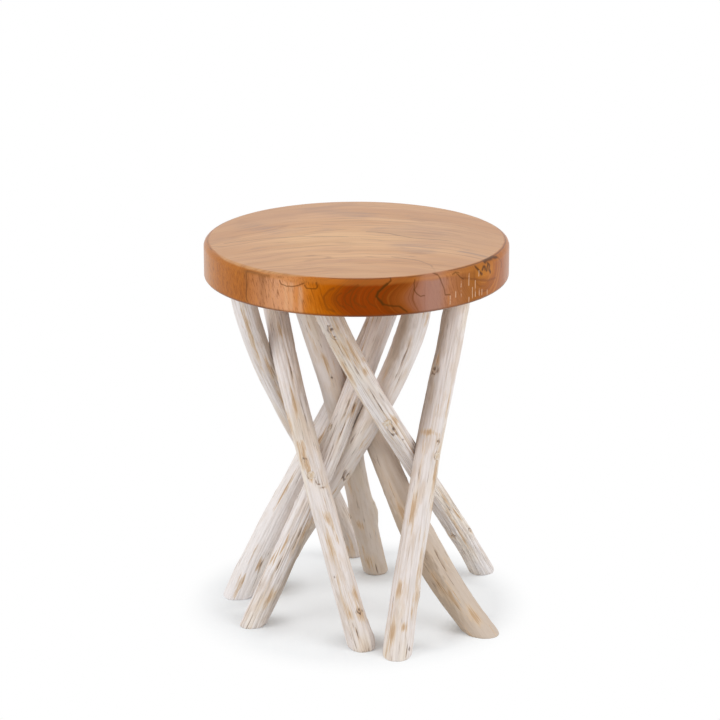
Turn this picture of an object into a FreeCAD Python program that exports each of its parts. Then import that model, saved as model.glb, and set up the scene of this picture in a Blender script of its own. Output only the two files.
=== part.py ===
"""A round side table: a thick teak slab carried on nine whitewashed branches.

The branches lean across one another like a loose bundle of sticks. Each is sawn level at the floor
and under the slab, dowelled into the slab, scribed to the branches that it rests against, and held
to them by countersunk screws whose holes are closed with wooden plugs.
"""

import FreeCAD, Part
import math
import os

import Sketcher
from FreeCAD import Placement, Rotation, Vector

os.makedirs("parts", exist_ok=True)
doc = FreeCAD.newDocument("side_table")

# Driving sizes, in millimetres. The rings that the branches stand on and reach are set in from the
# slab's edge.
SIZES = {
    "table_height": 450,
    "slab_diameter": 350,
    "slab_thickness": 43,
    "slab_top_round": 7,
    "slab_under_round": 4,
    "foot_ring_inset": 25,
    "top_ring_inset": 45,
    "branch_diameter": 28,
    "dowel_diameter": 12,
    "dowel_slab_depth": 26,
    "dowel_leg_depth": 34,
    "dowel_chamfer": 1.5,
    "dowel_end_room": 1,
    "screw_bite": 18,
    "screw_shank_diameter": 4,
    "screw_head_diameter": 8,
    "screw_head_height": 3,
    "screw_tip_length": 6,
    "screw_slot_width": 1.2,
    "screw_slot_depth": 1.5,
    "plug_diameter": 9,
    "plug_length": 7,
    "glue_gap": 0.1,
    "cut_overrun": 10,
}
sheet = doc.addObject("Spreadsheet::Sheet", "Sizes")
for row, (size_name, size_value) in enumerate(SIZES.items(), start=1):
    sheet.set(f"A{row}", size_name)
    sheet.set(f"B{row}", str(size_value))
    sheet.setAlias(f"B{row}", size_name)
doc.recompute()

# Sizes that follow from the driving ones, as formulas
LEG_HEIGHT = "(Sizes.table_height - Sizes.slab_thickness)"
FOOT_RING = "(Sizes.slab_diameter / 2 - Sizes.foot_ring_inset)"
TOP_RING = "(Sizes.slab_diameter / 2 - Sizes.top_ring_inset)"
SCREW_LENGTH = "(Sizes.branch_diameter - Sizes.plug_length + Sizes.screw_bite)"

# Each branch: where its foot stands and where its top meets the slab, as X and Y shares of the foot
# ring and the top ring; how far it bows at mid-height, and sways in an S, off the line between them,
# and its girth at foot, middle and top, all as shares of the branch diameter.
BRANCH_SHARES = {
    "back": ((-0.03, 1.01), (-1.02, -0.12), (-0.28, 0.07), (0.26, 0), (0.92, 0.93, 0.95)),
    "back_inner": ((0.16, 0.64), (-0.58, 0.16), (0.42, -0.82), (-0.09, 0), (1.02, 1.02, 1.02)),
    "left": ((-0.95, 0.13), (0.44, 0.92), (0.26, -0.07), (-0.19, 0), (1.16, 1.05, 1.00)),
    "left_inner": ((-0.72, 0.32), (0.56, -0.13), (0.68, -0.39), (-0.30, 0), (0.98, 1.10, 1.12)),
    "left_front": ((-0.81, -0.45), (0.43, 0.50), (0.25, -0.14), (0, 0), (1.00, 0.98, 1.08)),
    "front_left": ((0.04, -0.88), (-0.81, 0.58), (-0.27, 0.06), (0.04, 0), (1.05, 0.98, 1.00)),
    "front_right": ((0.31, -1.035), (0.98, 0.46), (-0.08, 1.10), (-0.01, 0), (1.18, 1.07, 1.08)),
    "right_front": ((0.97, -0.60), (-0.63, 0.78), (-0.45, 0.79), (-0.34, 0), (1.32, 1.05, 1.01)),
    "right_back": ((1.03, 0.64), (-0.31, -0.58), (-0.11, -0.82), (0.14, 0), (0.96, 0.98, 1.00)),
}

# The crossings that a screw holds: the outer branch, which it is driven through, and the inner one
SCREWED_CROSSINGS = (
    ("back", "left"),
    ("back_inner", "left_front"),
    ("left", "right_front"),
    ("left_front", "left_inner"),
    ("front_left", "left_front"),
    ("front_right", "right_back"),
    ("right_front", "back_inner"),
    ("right_front", "left_inner"),
    ("right_back", "left_inner"),
)

# Branches whose middles come nearer than this share of the branch diameter are scribed to fit.
SCRIBE_SHARE = 1.25

# A branch is lofted through this many steps of sections, and searched for crossings in finer ones.
SECTION_STEPS = 6
SEARCH_STEPS = 160

# The highest that the S of share * (1 - share) * (1 - 2 * share) rises
SWAY_PEAK_SHARE = math.sqrt(3) / 18


def value(formula):
    """A formula in the sheet's sizes, worked out in millimetres."""
    return float(sheet.evalExpression(formula))


def turned(name, profile):
    """A body turned about its own Z axis from an outline of (radius, height) formulas."""
    body = doc.addObject("PartDesign::Body", name)
    upright = next(plane for plane in body.Origin.OriginFeatures if plane.Role == "XZ_Plane")
    sketch = body.newObject("Sketcher::SketchObject", f"{name}_outline")
    sketch.AttachmentSupport = [(upright, "")]
    sketch.MapMode = "FlatFace"
    corners = [Vector(value(radius), value(height), 0) for radius, height in profile]
    for number, corner in enumerate(corners):
        sketch.addGeometry(Part.LineSegment(corner, corners[(number + 1) % len(corners)]))
    for number in range(len(corners)):
        following = (number + 1) % len(corners)
        sketch.addConstraint(Sketcher.Constraint("Coincident", number, 2, following, 1))
    for number, formulas in enumerate(profile):
        for formula, direction, axis in zip(formulas, ("DistanceX", "DistanceY"), (-2, -1)):
            if formula == "0":
                sketch.addConstraint(Sketcher.Constraint("PointOnObject", number, 1, axis))
                continue
            held = Sketcher.Constraint(direction, -1, 1, number, 1, value(formula))
            sketch.setExpression(f"Constraints[{sketch.addConstraint(held)}]", formula)
    turning = body.newObject("PartDesign::Revolution", f"{name}_turning")
    turning.Profile = sketch
    turning.ReferenceAxis = (sketch, ["V_Axis"])
    return body


def eased_rim(body, side, size_name):
    """Rounds the body's lowest (min) or highest (max) round edge."""
    base = body.Tip
    rims = [
        (edge.CenterOfMass.z, f"Edge{number}")
        for number, edge in enumerate(base.Shape.Edges, start=1)
        if isinstance(edge.Curve, Part.Circle)
    ]
    easing = body.newObject("PartDesign::Fillet", f"{body.Name}_{size_name}")
    easing.Base = (base, [side(rims)[1]])
    easing.setExpression("Radius", f"Sizes.{size_name}")
    doc.recompute()


def cut(base, tool):
    """One solid less another."""
    rest = doc.addObject("Part::Cut", f"{base.Name}_cut")
    rest.Base = base
    rest.Tool = tool
    return rest


def place_shares(branch, axis, share):
    """A point of the branch's middle, as shares of foot ring, top ring and branch diameter."""
    foot, top, bow, sway, _ = BRANCH_SHARES[branch]
    bend = bow[axis] * 4 * share * (1 - share)
    bend += sway[axis] * share * (1 - share) * (1 - 2 * share) / SWAY_PEAK_SHARE
    return foot[axis] * (1 - share), top[axis] * share, bend


def place_formula(branch, axis, share):
    """The same point's X or Y, as a formula in the sheet's sizes."""
    foot, top, bend = place_shares(branch, axis, share)
    return f"{foot:.6f} * {FOOT_RING} + {top:.6f} * {TOP_RING} + {bend:.6f} * Sizes.branch_diameter"


def girth_share(branch, share):
    """The branch's thickness at a share of its height, as a share of the branch diameter."""
    foot, middle, top = BRANCH_SHARES[branch][-1]
    lower = foot * (1 - share) * (1 - 2 * share)
    upper = top * share * (2 * share - 1)
    return lower + middle * 4 * share * (1 - share) + upper


def branch_blank(branch):
    """The whole branch, lofted through level oval sections from the floor to the slab's underside."""
    runs = [f"({place_formula(branch, axis, 1)} - ({place_formula(branch, axis, 0)}))" for axis in (0, 1)]
    lean = f"sqrt(1 + ({runs[0]} ^ 2 + {runs[1]} ^ 2) / {LEG_HEIGHT} ^ 2)"
    sections = []
    for step in range(SECTION_STEPS + 1):
        share = step / SECTION_STEPS
        girth = f"{girth_share(branch, share):.6f} * Sizes.branch_diameter / 2"
        section = doc.addObject("Part::Ellipse", f"{branch}_section")
        section.setExpression("MajorRadius", f"{girth} * {lean}")
        section.setExpression("MinorRadius", girth)
        section.setExpression("Placement.Base.x", place_formula(branch, 0, share))
        section.setExpression("Placement.Base.y", place_formula(branch, 1, share))
        section.setExpression("Placement.Base.z", f"{LEG_HEIGHT} * {share:.6f}")
        section.setExpression("Placement.Rotation.Angle", f"atan2({runs[1]}; {runs[0]})")
        sections.append(section)
    blank = doc.addObject("Part::Loft", f"{branch}_blank")
    blank.Sections = sections
    blank.Solid = True
    return blank


def middle_line(branch):
    """Points along the branch's middle, each with the share of the height that it is at."""
    followed = [value(size) for size in (FOOT_RING, TOP_RING, "Sizes.branch_diameter")]
    line = []
    for step in range(SEARCH_STEPS + 1):
        share = step / SEARCH_STEPS
        point = Vector(0, 0, value(LEG_HEIGHT) * share)
        point.x = sum(part * size for part, size in zip(place_shares(branch, 0, share), followed))
        point.y = sum(part * size for part, size in zip(place_shares(branch, 1, share), followed))
        line.append((point, share))
    return line


def nearest(first, second):
    """The points where two branches' middles come nearest, each with its share of the height."""
    pairs = ((one, other) for one in middles[first] for other in middles[second])
    return min(pairs, key=lambda pair: pair[0][0].distanceToPoint(pair[1][0]))


# The branches, whole
blanks = {branch: branch_blank(branch) for branch in BRANCH_SHARES}
middles = {branch: middle_line(branch) for branch in BRANCH_SHARES}
legs = dict(blanks)
pieces = {}

# The slab: a turned teak disc with both rims eased
SLAB_PROFILE = (
    ("0", "0"),
    ("Sizes.slab_diameter / 2", "0"),
    ("Sizes.slab_diameter / 2", "Sizes.slab_thickness"),
    ("0", "Sizes.slab_thickness"),
)
slab = turned("slab_disc", SLAB_PROFILE)
slab.setExpression("Placement.Base.z", LEG_HEIGHT)
doc.recompute()
eased_rim(slab, max, "slab_top_round")
eased_rim(slab, min, "slab_under_round")

# The dowels: each follows its branch's own slope up into a blind hole in the slab
DOWEL_PROFILE = (
    ("0", "-Sizes.dowel_leg_depth"),
    ("Sizes.dowel_diameter / 2 - Sizes.dowel_chamfer", "-Sizes.dowel_leg_depth"),
    ("Sizes.dowel_diameter / 2", "Sizes.dowel_chamfer - Sizes.dowel_leg_depth"),
    ("Sizes.dowel_diameter / 2", "Sizes.dowel_slab_depth - Sizes.dowel_chamfer"),
    ("Sizes.dowel_diameter / 2 - Sizes.dowel_chamfer", "Sizes.dowel_slab_depth"),
    ("0", "Sizes.dowel_slab_depth"),
)
DOWEL_HOLE_PROFILE = (
    ("0", "-Sizes.dowel_leg_depth - Sizes.dowel_end_room"),
    ("Sizes.dowel_diameter / 2 + Sizes.glue_gap", "-Sizes.dowel_leg_depth - Sizes.dowel_end_room"),
    ("Sizes.dowel_diameter / 2 + Sizes.glue_gap", "Sizes.dowel_slab_depth + Sizes.dowel_end_room"),
    ("0", "Sizes.dowel_slab_depth + Sizes.dowel_end_room"),
)
for branch in BRANCH_SHARES:
    (below, _), (top, _) = middles[branch][-2:]
    along_branch = Placement(top, Rotation(Vector(0, 0, 1), top - below))
    dowel = turned(f"dowel_{branch}", DOWEL_PROFILE)
    dowel.Placement = along_branch
    pieces[f"dowel_{branch}"] = dowel

    dowel_hole = turned(f"dowel_hole_{branch}", DOWEL_HOLE_PROFILE)
    dowel_hole.Placement = along_branch
    legs[branch] = cut(legs[branch], dowel_hole)
    slab = cut(slab, dowel_hole)
pieces["top_slab"] = slab

# The scribed seats: where two branches meet, the outer one is hollowed to fit the inner one
for number, first in enumerate(BRANCH_SHARES):
    for second in list(BRANCH_SHARES)[number + 1:]:
        (first_point, _), (second_point, _) = nearest(first, second)
        if first_point.distanceToPoint(second_point) > SCRIBE_SHARE * value("Sizes.branch_diameter"):
            continue
        first_reach = math.hypot(first_point.x, first_point.y)
        second_reach = math.hypot(second_point.x, second_point.y)
        outer, inner = (first, second) if first_reach > second_reach else (second, first)
        if (inner, outer) in SCREWED_CROSSINGS:
            outer, inner = inner, outer
        legs[outer] = cut(legs[outer], blanks[inner])

# The screws: a countersunk head with a slot, a plain shank for the thread, and a pointed tip. Each
# lies on the shortest line between its two branches, with its head a plug's length under the surface.
SCREW_PROFILE = (
    ("0", "0"),
    ("Sizes.screw_head_diameter / 2", "0"),
    ("Sizes.screw_shank_diameter / 2", "Sizes.screw_head_height"),
    ("Sizes.screw_shank_diameter / 2", f"{SCREW_LENGTH} - Sizes.screw_tip_length"),
    ("0", SCREW_LENGTH),
)
SCREW_HOLE_PROFILE = (
    ("0", "-Sizes.plug_length - Sizes.cut_overrun"),
    ("Sizes.plug_diameter / 2 + Sizes.glue_gap", "-Sizes.plug_length - Sizes.cut_overrun"),
    ("Sizes.plug_diameter / 2 + Sizes.glue_gap", "0"),
    ("Sizes.screw_head_diameter / 2 + Sizes.glue_gap", "0"),
    ("Sizes.screw_shank_diameter / 2 + Sizes.glue_gap", "Sizes.screw_head_height"),
    ("Sizes.screw_shank_diameter / 2 + Sizes.glue_gap", f"{SCREW_LENGTH} - Sizes.screw_tip_length"),
    ("0", f"{SCREW_LENGTH} + Sizes.glue_gap"),
)
PLUG_PROFILE = (
    ("0", "-Sizes.plug_length - Sizes.cut_overrun"),
    ("Sizes.plug_diameter / 2", "-Sizes.plug_length - Sizes.cut_overrun"),
    ("Sizes.plug_diameter / 2", "0"),
    ("0", "0"),
)
for outer, inner in SCREWED_CROSSINGS:
    crossing = f"{outer}_to_{inner}"
    (outer_point, outer_share), (inner_point, _) = nearest(outer, inner)
    inward = (inner_point - outer_point).normalize()
    surface = value(f"{girth_share(outer, outer_share):.6f} * Sizes.branch_diameter / 2")
    head_point = outer_point - inward * (surface - value("Sizes.plug_length"))
    driven_in = Placement(head_point, Rotation(Vector(0, 0, 1), inward))

    screw = turned(f"screw_{crossing}", SCREW_PROFILE)
    slot = screw.newObject("PartDesign::SubtractiveBox", f"slot_{crossing}")
    slot.setExpression("Length", "Sizes.screw_head_diameter")
    slot.setExpression("Width", "Sizes.screw_slot_width")
    slot.setExpression("Height", "Sizes.screw_slot_depth")
    slot.setExpression("Placement.Base.x", "-Sizes.screw_head_diameter / 2")
    slot.setExpression("Placement.Base.y", "-Sizes.screw_slot_width / 2")
    screw.Placement = driven_in
    pieces[f"screw_{crossing}"] = screw

    screw_hole = turned(f"screw_hole_{crossing}", SCREW_HOLE_PROFILE)
    screw_hole.Placement = driven_in
    legs[outer] = cut(legs[outer], screw_hole)
    legs[inner] = cut(legs[inner], screw_hole)

    plug_rod = turned(f"plug_rod_{crossing}", PLUG_PROFILE)
    plug_rod.Placement = driven_in
    plug = doc.addObject("Part::Common", f"plug_{crossing}")
    plug.Base = plug_rod
    plug.Tool = blanks[outer]
    pieces[f"plug_{crossing}"] = plug

# The finished branches
for branch, leg in legs.items():
    pieces[f"leg_{branch}"] = leg

for node, piece in pieces.items():
    piece.Label = node
doc.recompute()
for thing in doc.Objects:
    if "Invalid" in thing.State or "Error" in thing.State:
        raise RuntimeError(f"{thing.Label} failed: {thing.State}")
for node, piece in pieces.items():
    if piece.Shape.isNull() or not piece.Shape.isValid() or len(piece.Shape.Solids) != 1:
        raise RuntimeError(f"{node} isn't one valid solid")
for node, piece in pieces.items():
    piece.Shape.exportStep(f"parts/{node}.step")
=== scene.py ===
"""The looks of a round side table: a lacquered teak slab on whitewashed branches that cross."""

import math
import random

import bmesh
import bpy
from mathutils import Matrix, Vector, noise


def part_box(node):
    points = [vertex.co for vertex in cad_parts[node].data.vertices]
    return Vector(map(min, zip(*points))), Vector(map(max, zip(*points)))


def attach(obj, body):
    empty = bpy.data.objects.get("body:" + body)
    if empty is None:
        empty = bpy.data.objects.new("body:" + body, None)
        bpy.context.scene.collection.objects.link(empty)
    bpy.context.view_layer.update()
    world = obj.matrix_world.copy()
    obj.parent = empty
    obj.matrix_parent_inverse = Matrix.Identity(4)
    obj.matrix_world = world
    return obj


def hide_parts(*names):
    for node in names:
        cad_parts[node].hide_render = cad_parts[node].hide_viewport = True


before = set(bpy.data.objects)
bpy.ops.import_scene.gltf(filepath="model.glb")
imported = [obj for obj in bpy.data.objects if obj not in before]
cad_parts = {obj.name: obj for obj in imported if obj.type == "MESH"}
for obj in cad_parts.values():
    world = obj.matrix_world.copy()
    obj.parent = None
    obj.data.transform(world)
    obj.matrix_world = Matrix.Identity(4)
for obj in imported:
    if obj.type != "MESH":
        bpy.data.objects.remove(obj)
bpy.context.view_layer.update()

# The branches
# Nine debarked branches, dried until they furrowed and checked along their length, then whitewashed
# and rubbed back so that tan wood shows. Each is sawn level at the floor and under the slab, and
# hollowed where it rests against the branch inside it.
foot_ring = 0.150
top_ring = 0.130
branch_thickness = 0.028
branch_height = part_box("leg_back")[1].z
branch_sides = 144
branch_steps = 280
mm = 0.001
seat_gap = 0.3 * mm
plug_rim = 4.5

# Foot and top as shares of the rings, bow and sway as shares of the thickness, girth at foot, middle, top
branch_shares = {
    "back": ((-0.03, 1.01), (-1.02, -0.12), (-0.28, 0.07), 0.26, (0.92, 0.93, 0.95)),
    "back_inner": ((0.16, 0.64), (-0.58, 0.16), (0.42, -0.82), -0.09, (1.02, 1.02, 1.02)),
    "left": ((-0.95, 0.13), (0.44, 0.92), (0.26, -0.07), -0.19, (1.16, 1.05, 1.00)),
    "left_inner": ((-0.72, 0.32), (0.56, -0.13), (0.68, -0.39), -0.30, (0.98, 1.10, 1.12)),
    "left_front": ((-0.81, -0.45), (0.43, 0.50), (0.25, -0.14), 0, (1.00, 0.98, 1.08)),
    "front_left": ((0.04, -0.88), (-0.81, 0.58), (-0.27, 0.06), 0.04, (1.05, 0.98, 1.00)),
    "front_right": ((0.31, -1.035), (0.98, 0.46), (-0.08, 1.10), -0.01, (1.18, 1.07, 1.08)),
    "right_front": ((0.97, -0.60), (-0.63, 0.78), (-0.45, 0.79), -0.34, (1.32, 1.05, 1.01)),
    "right_back": ((1.03, 0.64), (-0.31, -0.58), (-0.11, -0.82), 0.14, (0.96, 0.98, 1.00)),
}
crossings = (
    ("back", "left"),
    ("back_inner", "left_front"),
    ("left", "right_front"),
    ("left_front", "left_inner"),
    ("front_left", "left_front"),
    ("front_right", "right_back"),
    ("right_front", "back_inner"),
    ("right_front", "left_inner"),
    ("right_back", "left_inner"),
)

# How coarse each branch's furrows are, how brown it is under the wash at the foot and the top (below 0
# it is paler), and how strong the painted shade on its inner side is
branch_nature = {
    "back": (0.7, 0.45, 0.05, 0.5),
    "back_inner": (0.35, 1.1, 0.25, 0.45),
    "left": (0.75, -0.6, -0.6, 0.0),
    "left_inner": (0.5, 0.5, 0.2, 0.8),
    "left_front": (1.1, 0.0, -0.6, 0.5),
    "front_left": (0.75, 0.3, 0.0, 0.9),
    "front_right": (0.65, 0.15, 0.15, 1.15),
    "right_front": (0.4, 1.2, 1.1, 1.3),
    "right_back": (1.1, -0.3, 0.45, 0.35),
}
# Marks that show: kind, share of the length, turn in degrees to the right of the front, and half the
# length and half the width in millimetres. Two kinds of mark are patches of painted shade, one sharp-edged
# and one soft
branch_marks = {
    "back": (
        ("dim", 0.76, 62, 90, 8),
        ("worn", 0.84, -14, 60, 3),
        ("worn", 0.70, 20, 20, 4),
        ("worn", 0.60, 10, 26, 4),
        ("worn", 0.45, -30, 18, 4),
    ),
    "back_inner": (
        ("swell", 0.217, 85, 14, 9),
        ("pit", 0.688, 6, 1.8, 1.6),
        ("worn", 0.74, 1, 17, 3.5),
        ("worn", 0.06, -15, 16, 7),
        ("worn", 0.20, -30, 12, 6),
        ("split", 0.03, 5, 12, 0.9),
    ),
    "left": (
        ("stout", 0.28, 80, 90, 12),
        ("worn", 0.10, 30, 10, 3),
        ("split", 0.105, 38, 6, 1.2),
        ("worn", 0.30, -20, 24, 3),
        ("worn", 0.45, 10, 20, 3),
        ("split", 0.47, 25, 20, 0.9),
    ),
    "left_inner": (
        ("dim", 0.86, -38, 80, 11),
        ("dim", 0.52, -62, 60, 8),
        ("waist", 0.92, -85, 45, 11),
        ("knot", 0.413, 54, 8, 7),
        ("split", 0.782, 12, 18, 1),
        ("split", 0.72, 30, 12, 0.9),
    ),
    "left_front": (
        ("dim", 0.20, 66, 90, 8),
        ("stout", 0.25, -80, 100, 12),
        ("split", 0.605, -8, 9, 1.1),
        ("split", 0.575, -6, 8, 1.0),
        ("split", 0.603, 23, 9, 1.2),
        ("split", 0.54, 12, 14, 1.0),
        ("worn", 0.60, 26, 9, 3),
        ("split", 0.25, 20, 22, 0.8),
        ("split", 0.17, -12, 18, 0.8),
        ("worn", 0.08, 20, 18, 4),
    ),
    "front_left": (
        ("dim", 0.93, 58, 50, 9),
        ("worn", 0.80, 0, 10, 3.5),
        ("split", 0.70, 14, 22, 0.9),
        ("worn", 0.62, -5, 20, 3),
        ("chip", 0.485, -26, 17, 5),
        ("knot", 0.468, -24, 4, 3.5),
        ("worn", 0.435, -19, 12, 3),
        ("split", 0.412, 4, 3, 1.2),
        ("split", 0.405, 14, 1.2, 4),
        ("split", 0.396, 30, 1.3, 5),
        ("worn", 0.318, 9, 10, 3.5),
        ("worn", 0.255, -8, 24, 4.5),
        ("pit", 0.177, -33, 2, 1.6),
        ("worn", 0.125, 44, 12, 4),
        ("knot", 0.087, 38, 4.5, 4),
        ("worn", 0.075, 40, 12, 6),
        ("worn", 0.080, -7, 10, 3),
        ("split", 0.055, -9, 7, 1.1),
        ("split", 0.035, 0, 7, 0.9),
        ("swell", 0.02, 75, 16, 10),
    ),
    "front_right": (
        ("dim", 0.74, -60, 90, 7),
        ("worn", 0.72, -38, 12, 3),
        ("waist", 0.76, -85, 55, 11),
        ("stout", 0.80, 85, 80, 11),
        ("knot", 0.695, -46, 7, 5),
        ("worn", 0.530, -13, 4.5, 14),
        ("knot", 0.512, 31, 3.5, 3),
        ("split", 0.422, -28, 10, 1.2),
        ("worn", 0.335, -26, 24, 4.5),
        ("worn", 0.62, 58, 26, 2.5),
        ("worn", 0.45, 52, 40, 2.5),
        ("worn", 0.352, 71, 12, 5),
        ("worn", 0.22, 48, 36, 2.5),
        ("worn", 0.142, -31, 14, 5),
        ("worn", 0.140, 60, 14, 5),
        ("split", 0.122, -62, 4, 1.2),
        ("worn", 0.060, 11, 6, 5),
        ("worn", 0.045, -38, 18, 6),
        ("pit", 0.016, 51, 3.2, 2.2),
    ),
    "right_front": (
        ("shady", 0.17, -62, 80, 17),
        ("waist", 0.45, -85, 60, 12),
        ("crest", 0.19, 0, 60, 6),
        ("swell", 0.19, 85, 60, 12),
        ("swell", 0.16, -85, 55, 12),
        ("worn", 0.075, -11, 22, 4),
        ("split", 0.17, 30, 16, 1.1),
        ("worn", 0.03, 20, 12, 7),
        ("worn", 0.12, -30, 24, 6),
        ("worn", 0.30, -20, 24, 6),
    ),
    "right_back": (
        ("knot", 0.912, -21, 6, 5),
        ("knot", 0.890, -22, 5, 4),
        ("worn", 0.840, -11, 24, 5),
        ("worn", 0.87, -30, 20, 6),
        ("worn", 0.78, -52, 34, 4),
        ("worn", 0.83, 18, 30, 6),
        ("worn", 0.757, 30, 9, 4),
        ("pit", 0.762, 68, 1.8, 1.4),
        ("worn", 0.595, 35, 9, 4),
        ("knot", 0.578, 3, 8, 6),
        ("pit", 0.535, 16, 1.8, 1.4),
        ("split", 0.66, 5, 30, 0.9),
        ("knot", 0.165, 58, 5, 4),
        ("knot", 0.185, -47, 5, 4),
    ),
}
# Marks on the sides that don't show: kind, how many, and the usual half length and half width
hidden_marks = (("worn", 6, 24, 3.5), ("split", 6, 14, 1), ("knot", 2, 5, 4), ("pit", 2, 1.8, 1.5))
hidden_turns = (85, 275)
hidden_shares = (0.05, 0.95)
# How far the middle of a mark stands out, in millimetres
mark_heights = {"swell": 3.2, "stout": 1.5, "waist": -2.5, "worn": -0.5, "split": -1.2, "pit": -1.3}
# The dried surface: heights and depths in millimetres, and lengths along the branch in metres. Rings of
# points crowd towards the ends, and each branch takes its grain from the next length of one long stick
knob_height = 0.9
knob_length = 0.055
facet_height = 1.2
facet_length = 0.13
furrow_depth = 0.8
furrow_length = 0.075
furrow_width = 0.26
ridge_height = 0.3
ridge_length = 0.04
warp_length = 0.009
spare_height = 0.3
grain_twist = 0.5
ring_crowding = 0.3
foot_easing = 1.3 * mm
foot_easing_height = 1.2 * mm
level_end = 4 * mm
bundle_radius = 0.08
next_stick = 0.61
kept_names = ("furrow", "worn", "dark", "inner_painted_shade", "brown", "coarse")


def branch_middle(branch, share):
    """The branch's middle at a share of its height: bowed, and swayed in an S from side to side."""
    foot, top, bow, sway, _ = branch_shares[branch]
    arch = 4 * share * (1 - share)
    double = 6 * math.sqrt(3) * share * (1 - share) * (1 - 2 * share)
    x = foot_ring * foot[0] * (1 - share) + top_ring * top[0] * share
    y = foot_ring * foot[1] * (1 - share) + top_ring * top[1] * share
    bend = Vector((bow[0] * arch + sway * double, bow[1] * arch, 0)) * branch_thickness
    return Vector((x, y, branch_height * share)) + bend


def branch_radius(branch, share):
    """Half the branch's thickness at a share of its height."""
    foot, middle, top = branch_shares[branch][-1]
    lower = foot * (1 - share) * (1 - 2 * share)
    upper = top * share * (2 * share - 1)
    return (lower + middle * 4 * share * (1 - share) + upper) * branch_thickness / 2


def branch_lean(branch):
    """The line from foot to top, and the turn and stretch of the branch's level oval sections."""
    lean = branch_middle(branch, 1) - branch_middle(branch, 0)
    return lean, math.atan2(lean.y, lean.x), lean.length / lean.z


def front_and_right(axis):
    """Which way a branch's front, towards the viewer, and its right side look."""
    front = Vector((0, -0.95, 0.31))
    front = (front - axis * front.dot(axis)).normalized()
    return front, axis.cross(front)


def plug_mark(outer, inner):
    """Where the plug that closes a crossing's screw hole lies on the outer branch."""
    low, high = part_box(f"plug_{outer}_to_{inner}")
    centre = (low + high) / 2
    shares = [step / 400 for step in range(401)]
    share = min(shares, key=lambda tried: (branch_middle(outer, tried) - centre).length)
    axis = branch_lean(outer)[0].normalized()
    front, right = front_and_right(axis)
    off = centre - branch_middle(outer, share)
    return "plug", share, math.degrees(math.atan2(off.dot(right), off.dot(front))), plug_rim, plug_rim


def off_the_inner(point, inner):
    """A point of an outer branch, moved out of the branch that it rests against."""
    share = point.z / branch_height
    lean, yaw, stretch = branch_lean(inner)
    middle = branch_middle(inner, share)
    off = Matrix.Rotation(-yaw, 3, "Z") @ Vector((point.x - middle.x, point.y - middle.y, 0))
    reach = math.hypot(off.x / stretch, off.y)
    surface = branch_radius(inner, share) + seat_gap
    if reach >= surface:
        return point
    off = Matrix.Rotation(yaw, 3, "Z") @ (off * (surface / reach))
    return Vector((middle.x + off.x, middle.y + off.y, point.z))


def ring_ends(bm, count):
    """Rings, and a point in the middle, on the flat ends of a round piece."""
    for end in [face for face in bm.faces if len(face.verts) > 4]:
        width = end.calc_perimeter() / (2 * math.pi * (count + 1))
        for _ in range(count):
            bmesh.ops.inset_individual(bm, faces=[end], thickness=width, use_even_offset=True)
        bmesh.ops.poke(bm, faces=[end])


straight_bm = bmesh.new()
bmesh.ops.create_cone(straight_bm, cap_ends=True, segments=branch_sides, radius1=1, radius2=1, depth=1)
uprights = [e for e in straight_bm.edges if abs(e.verts[0].co.z - e.verts[1].co.z) > 0.5]
bmesh.ops.subdivide_edges(straight_bm, edges=uprights, cuts=branch_steps - 1)
ring_ends(straight_bm, 3)
for face in straight_bm.faces:
    face.smooth = abs(face.normal.z) < 0.5
    face.material_index = 0 if face.smooth else 1

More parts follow.
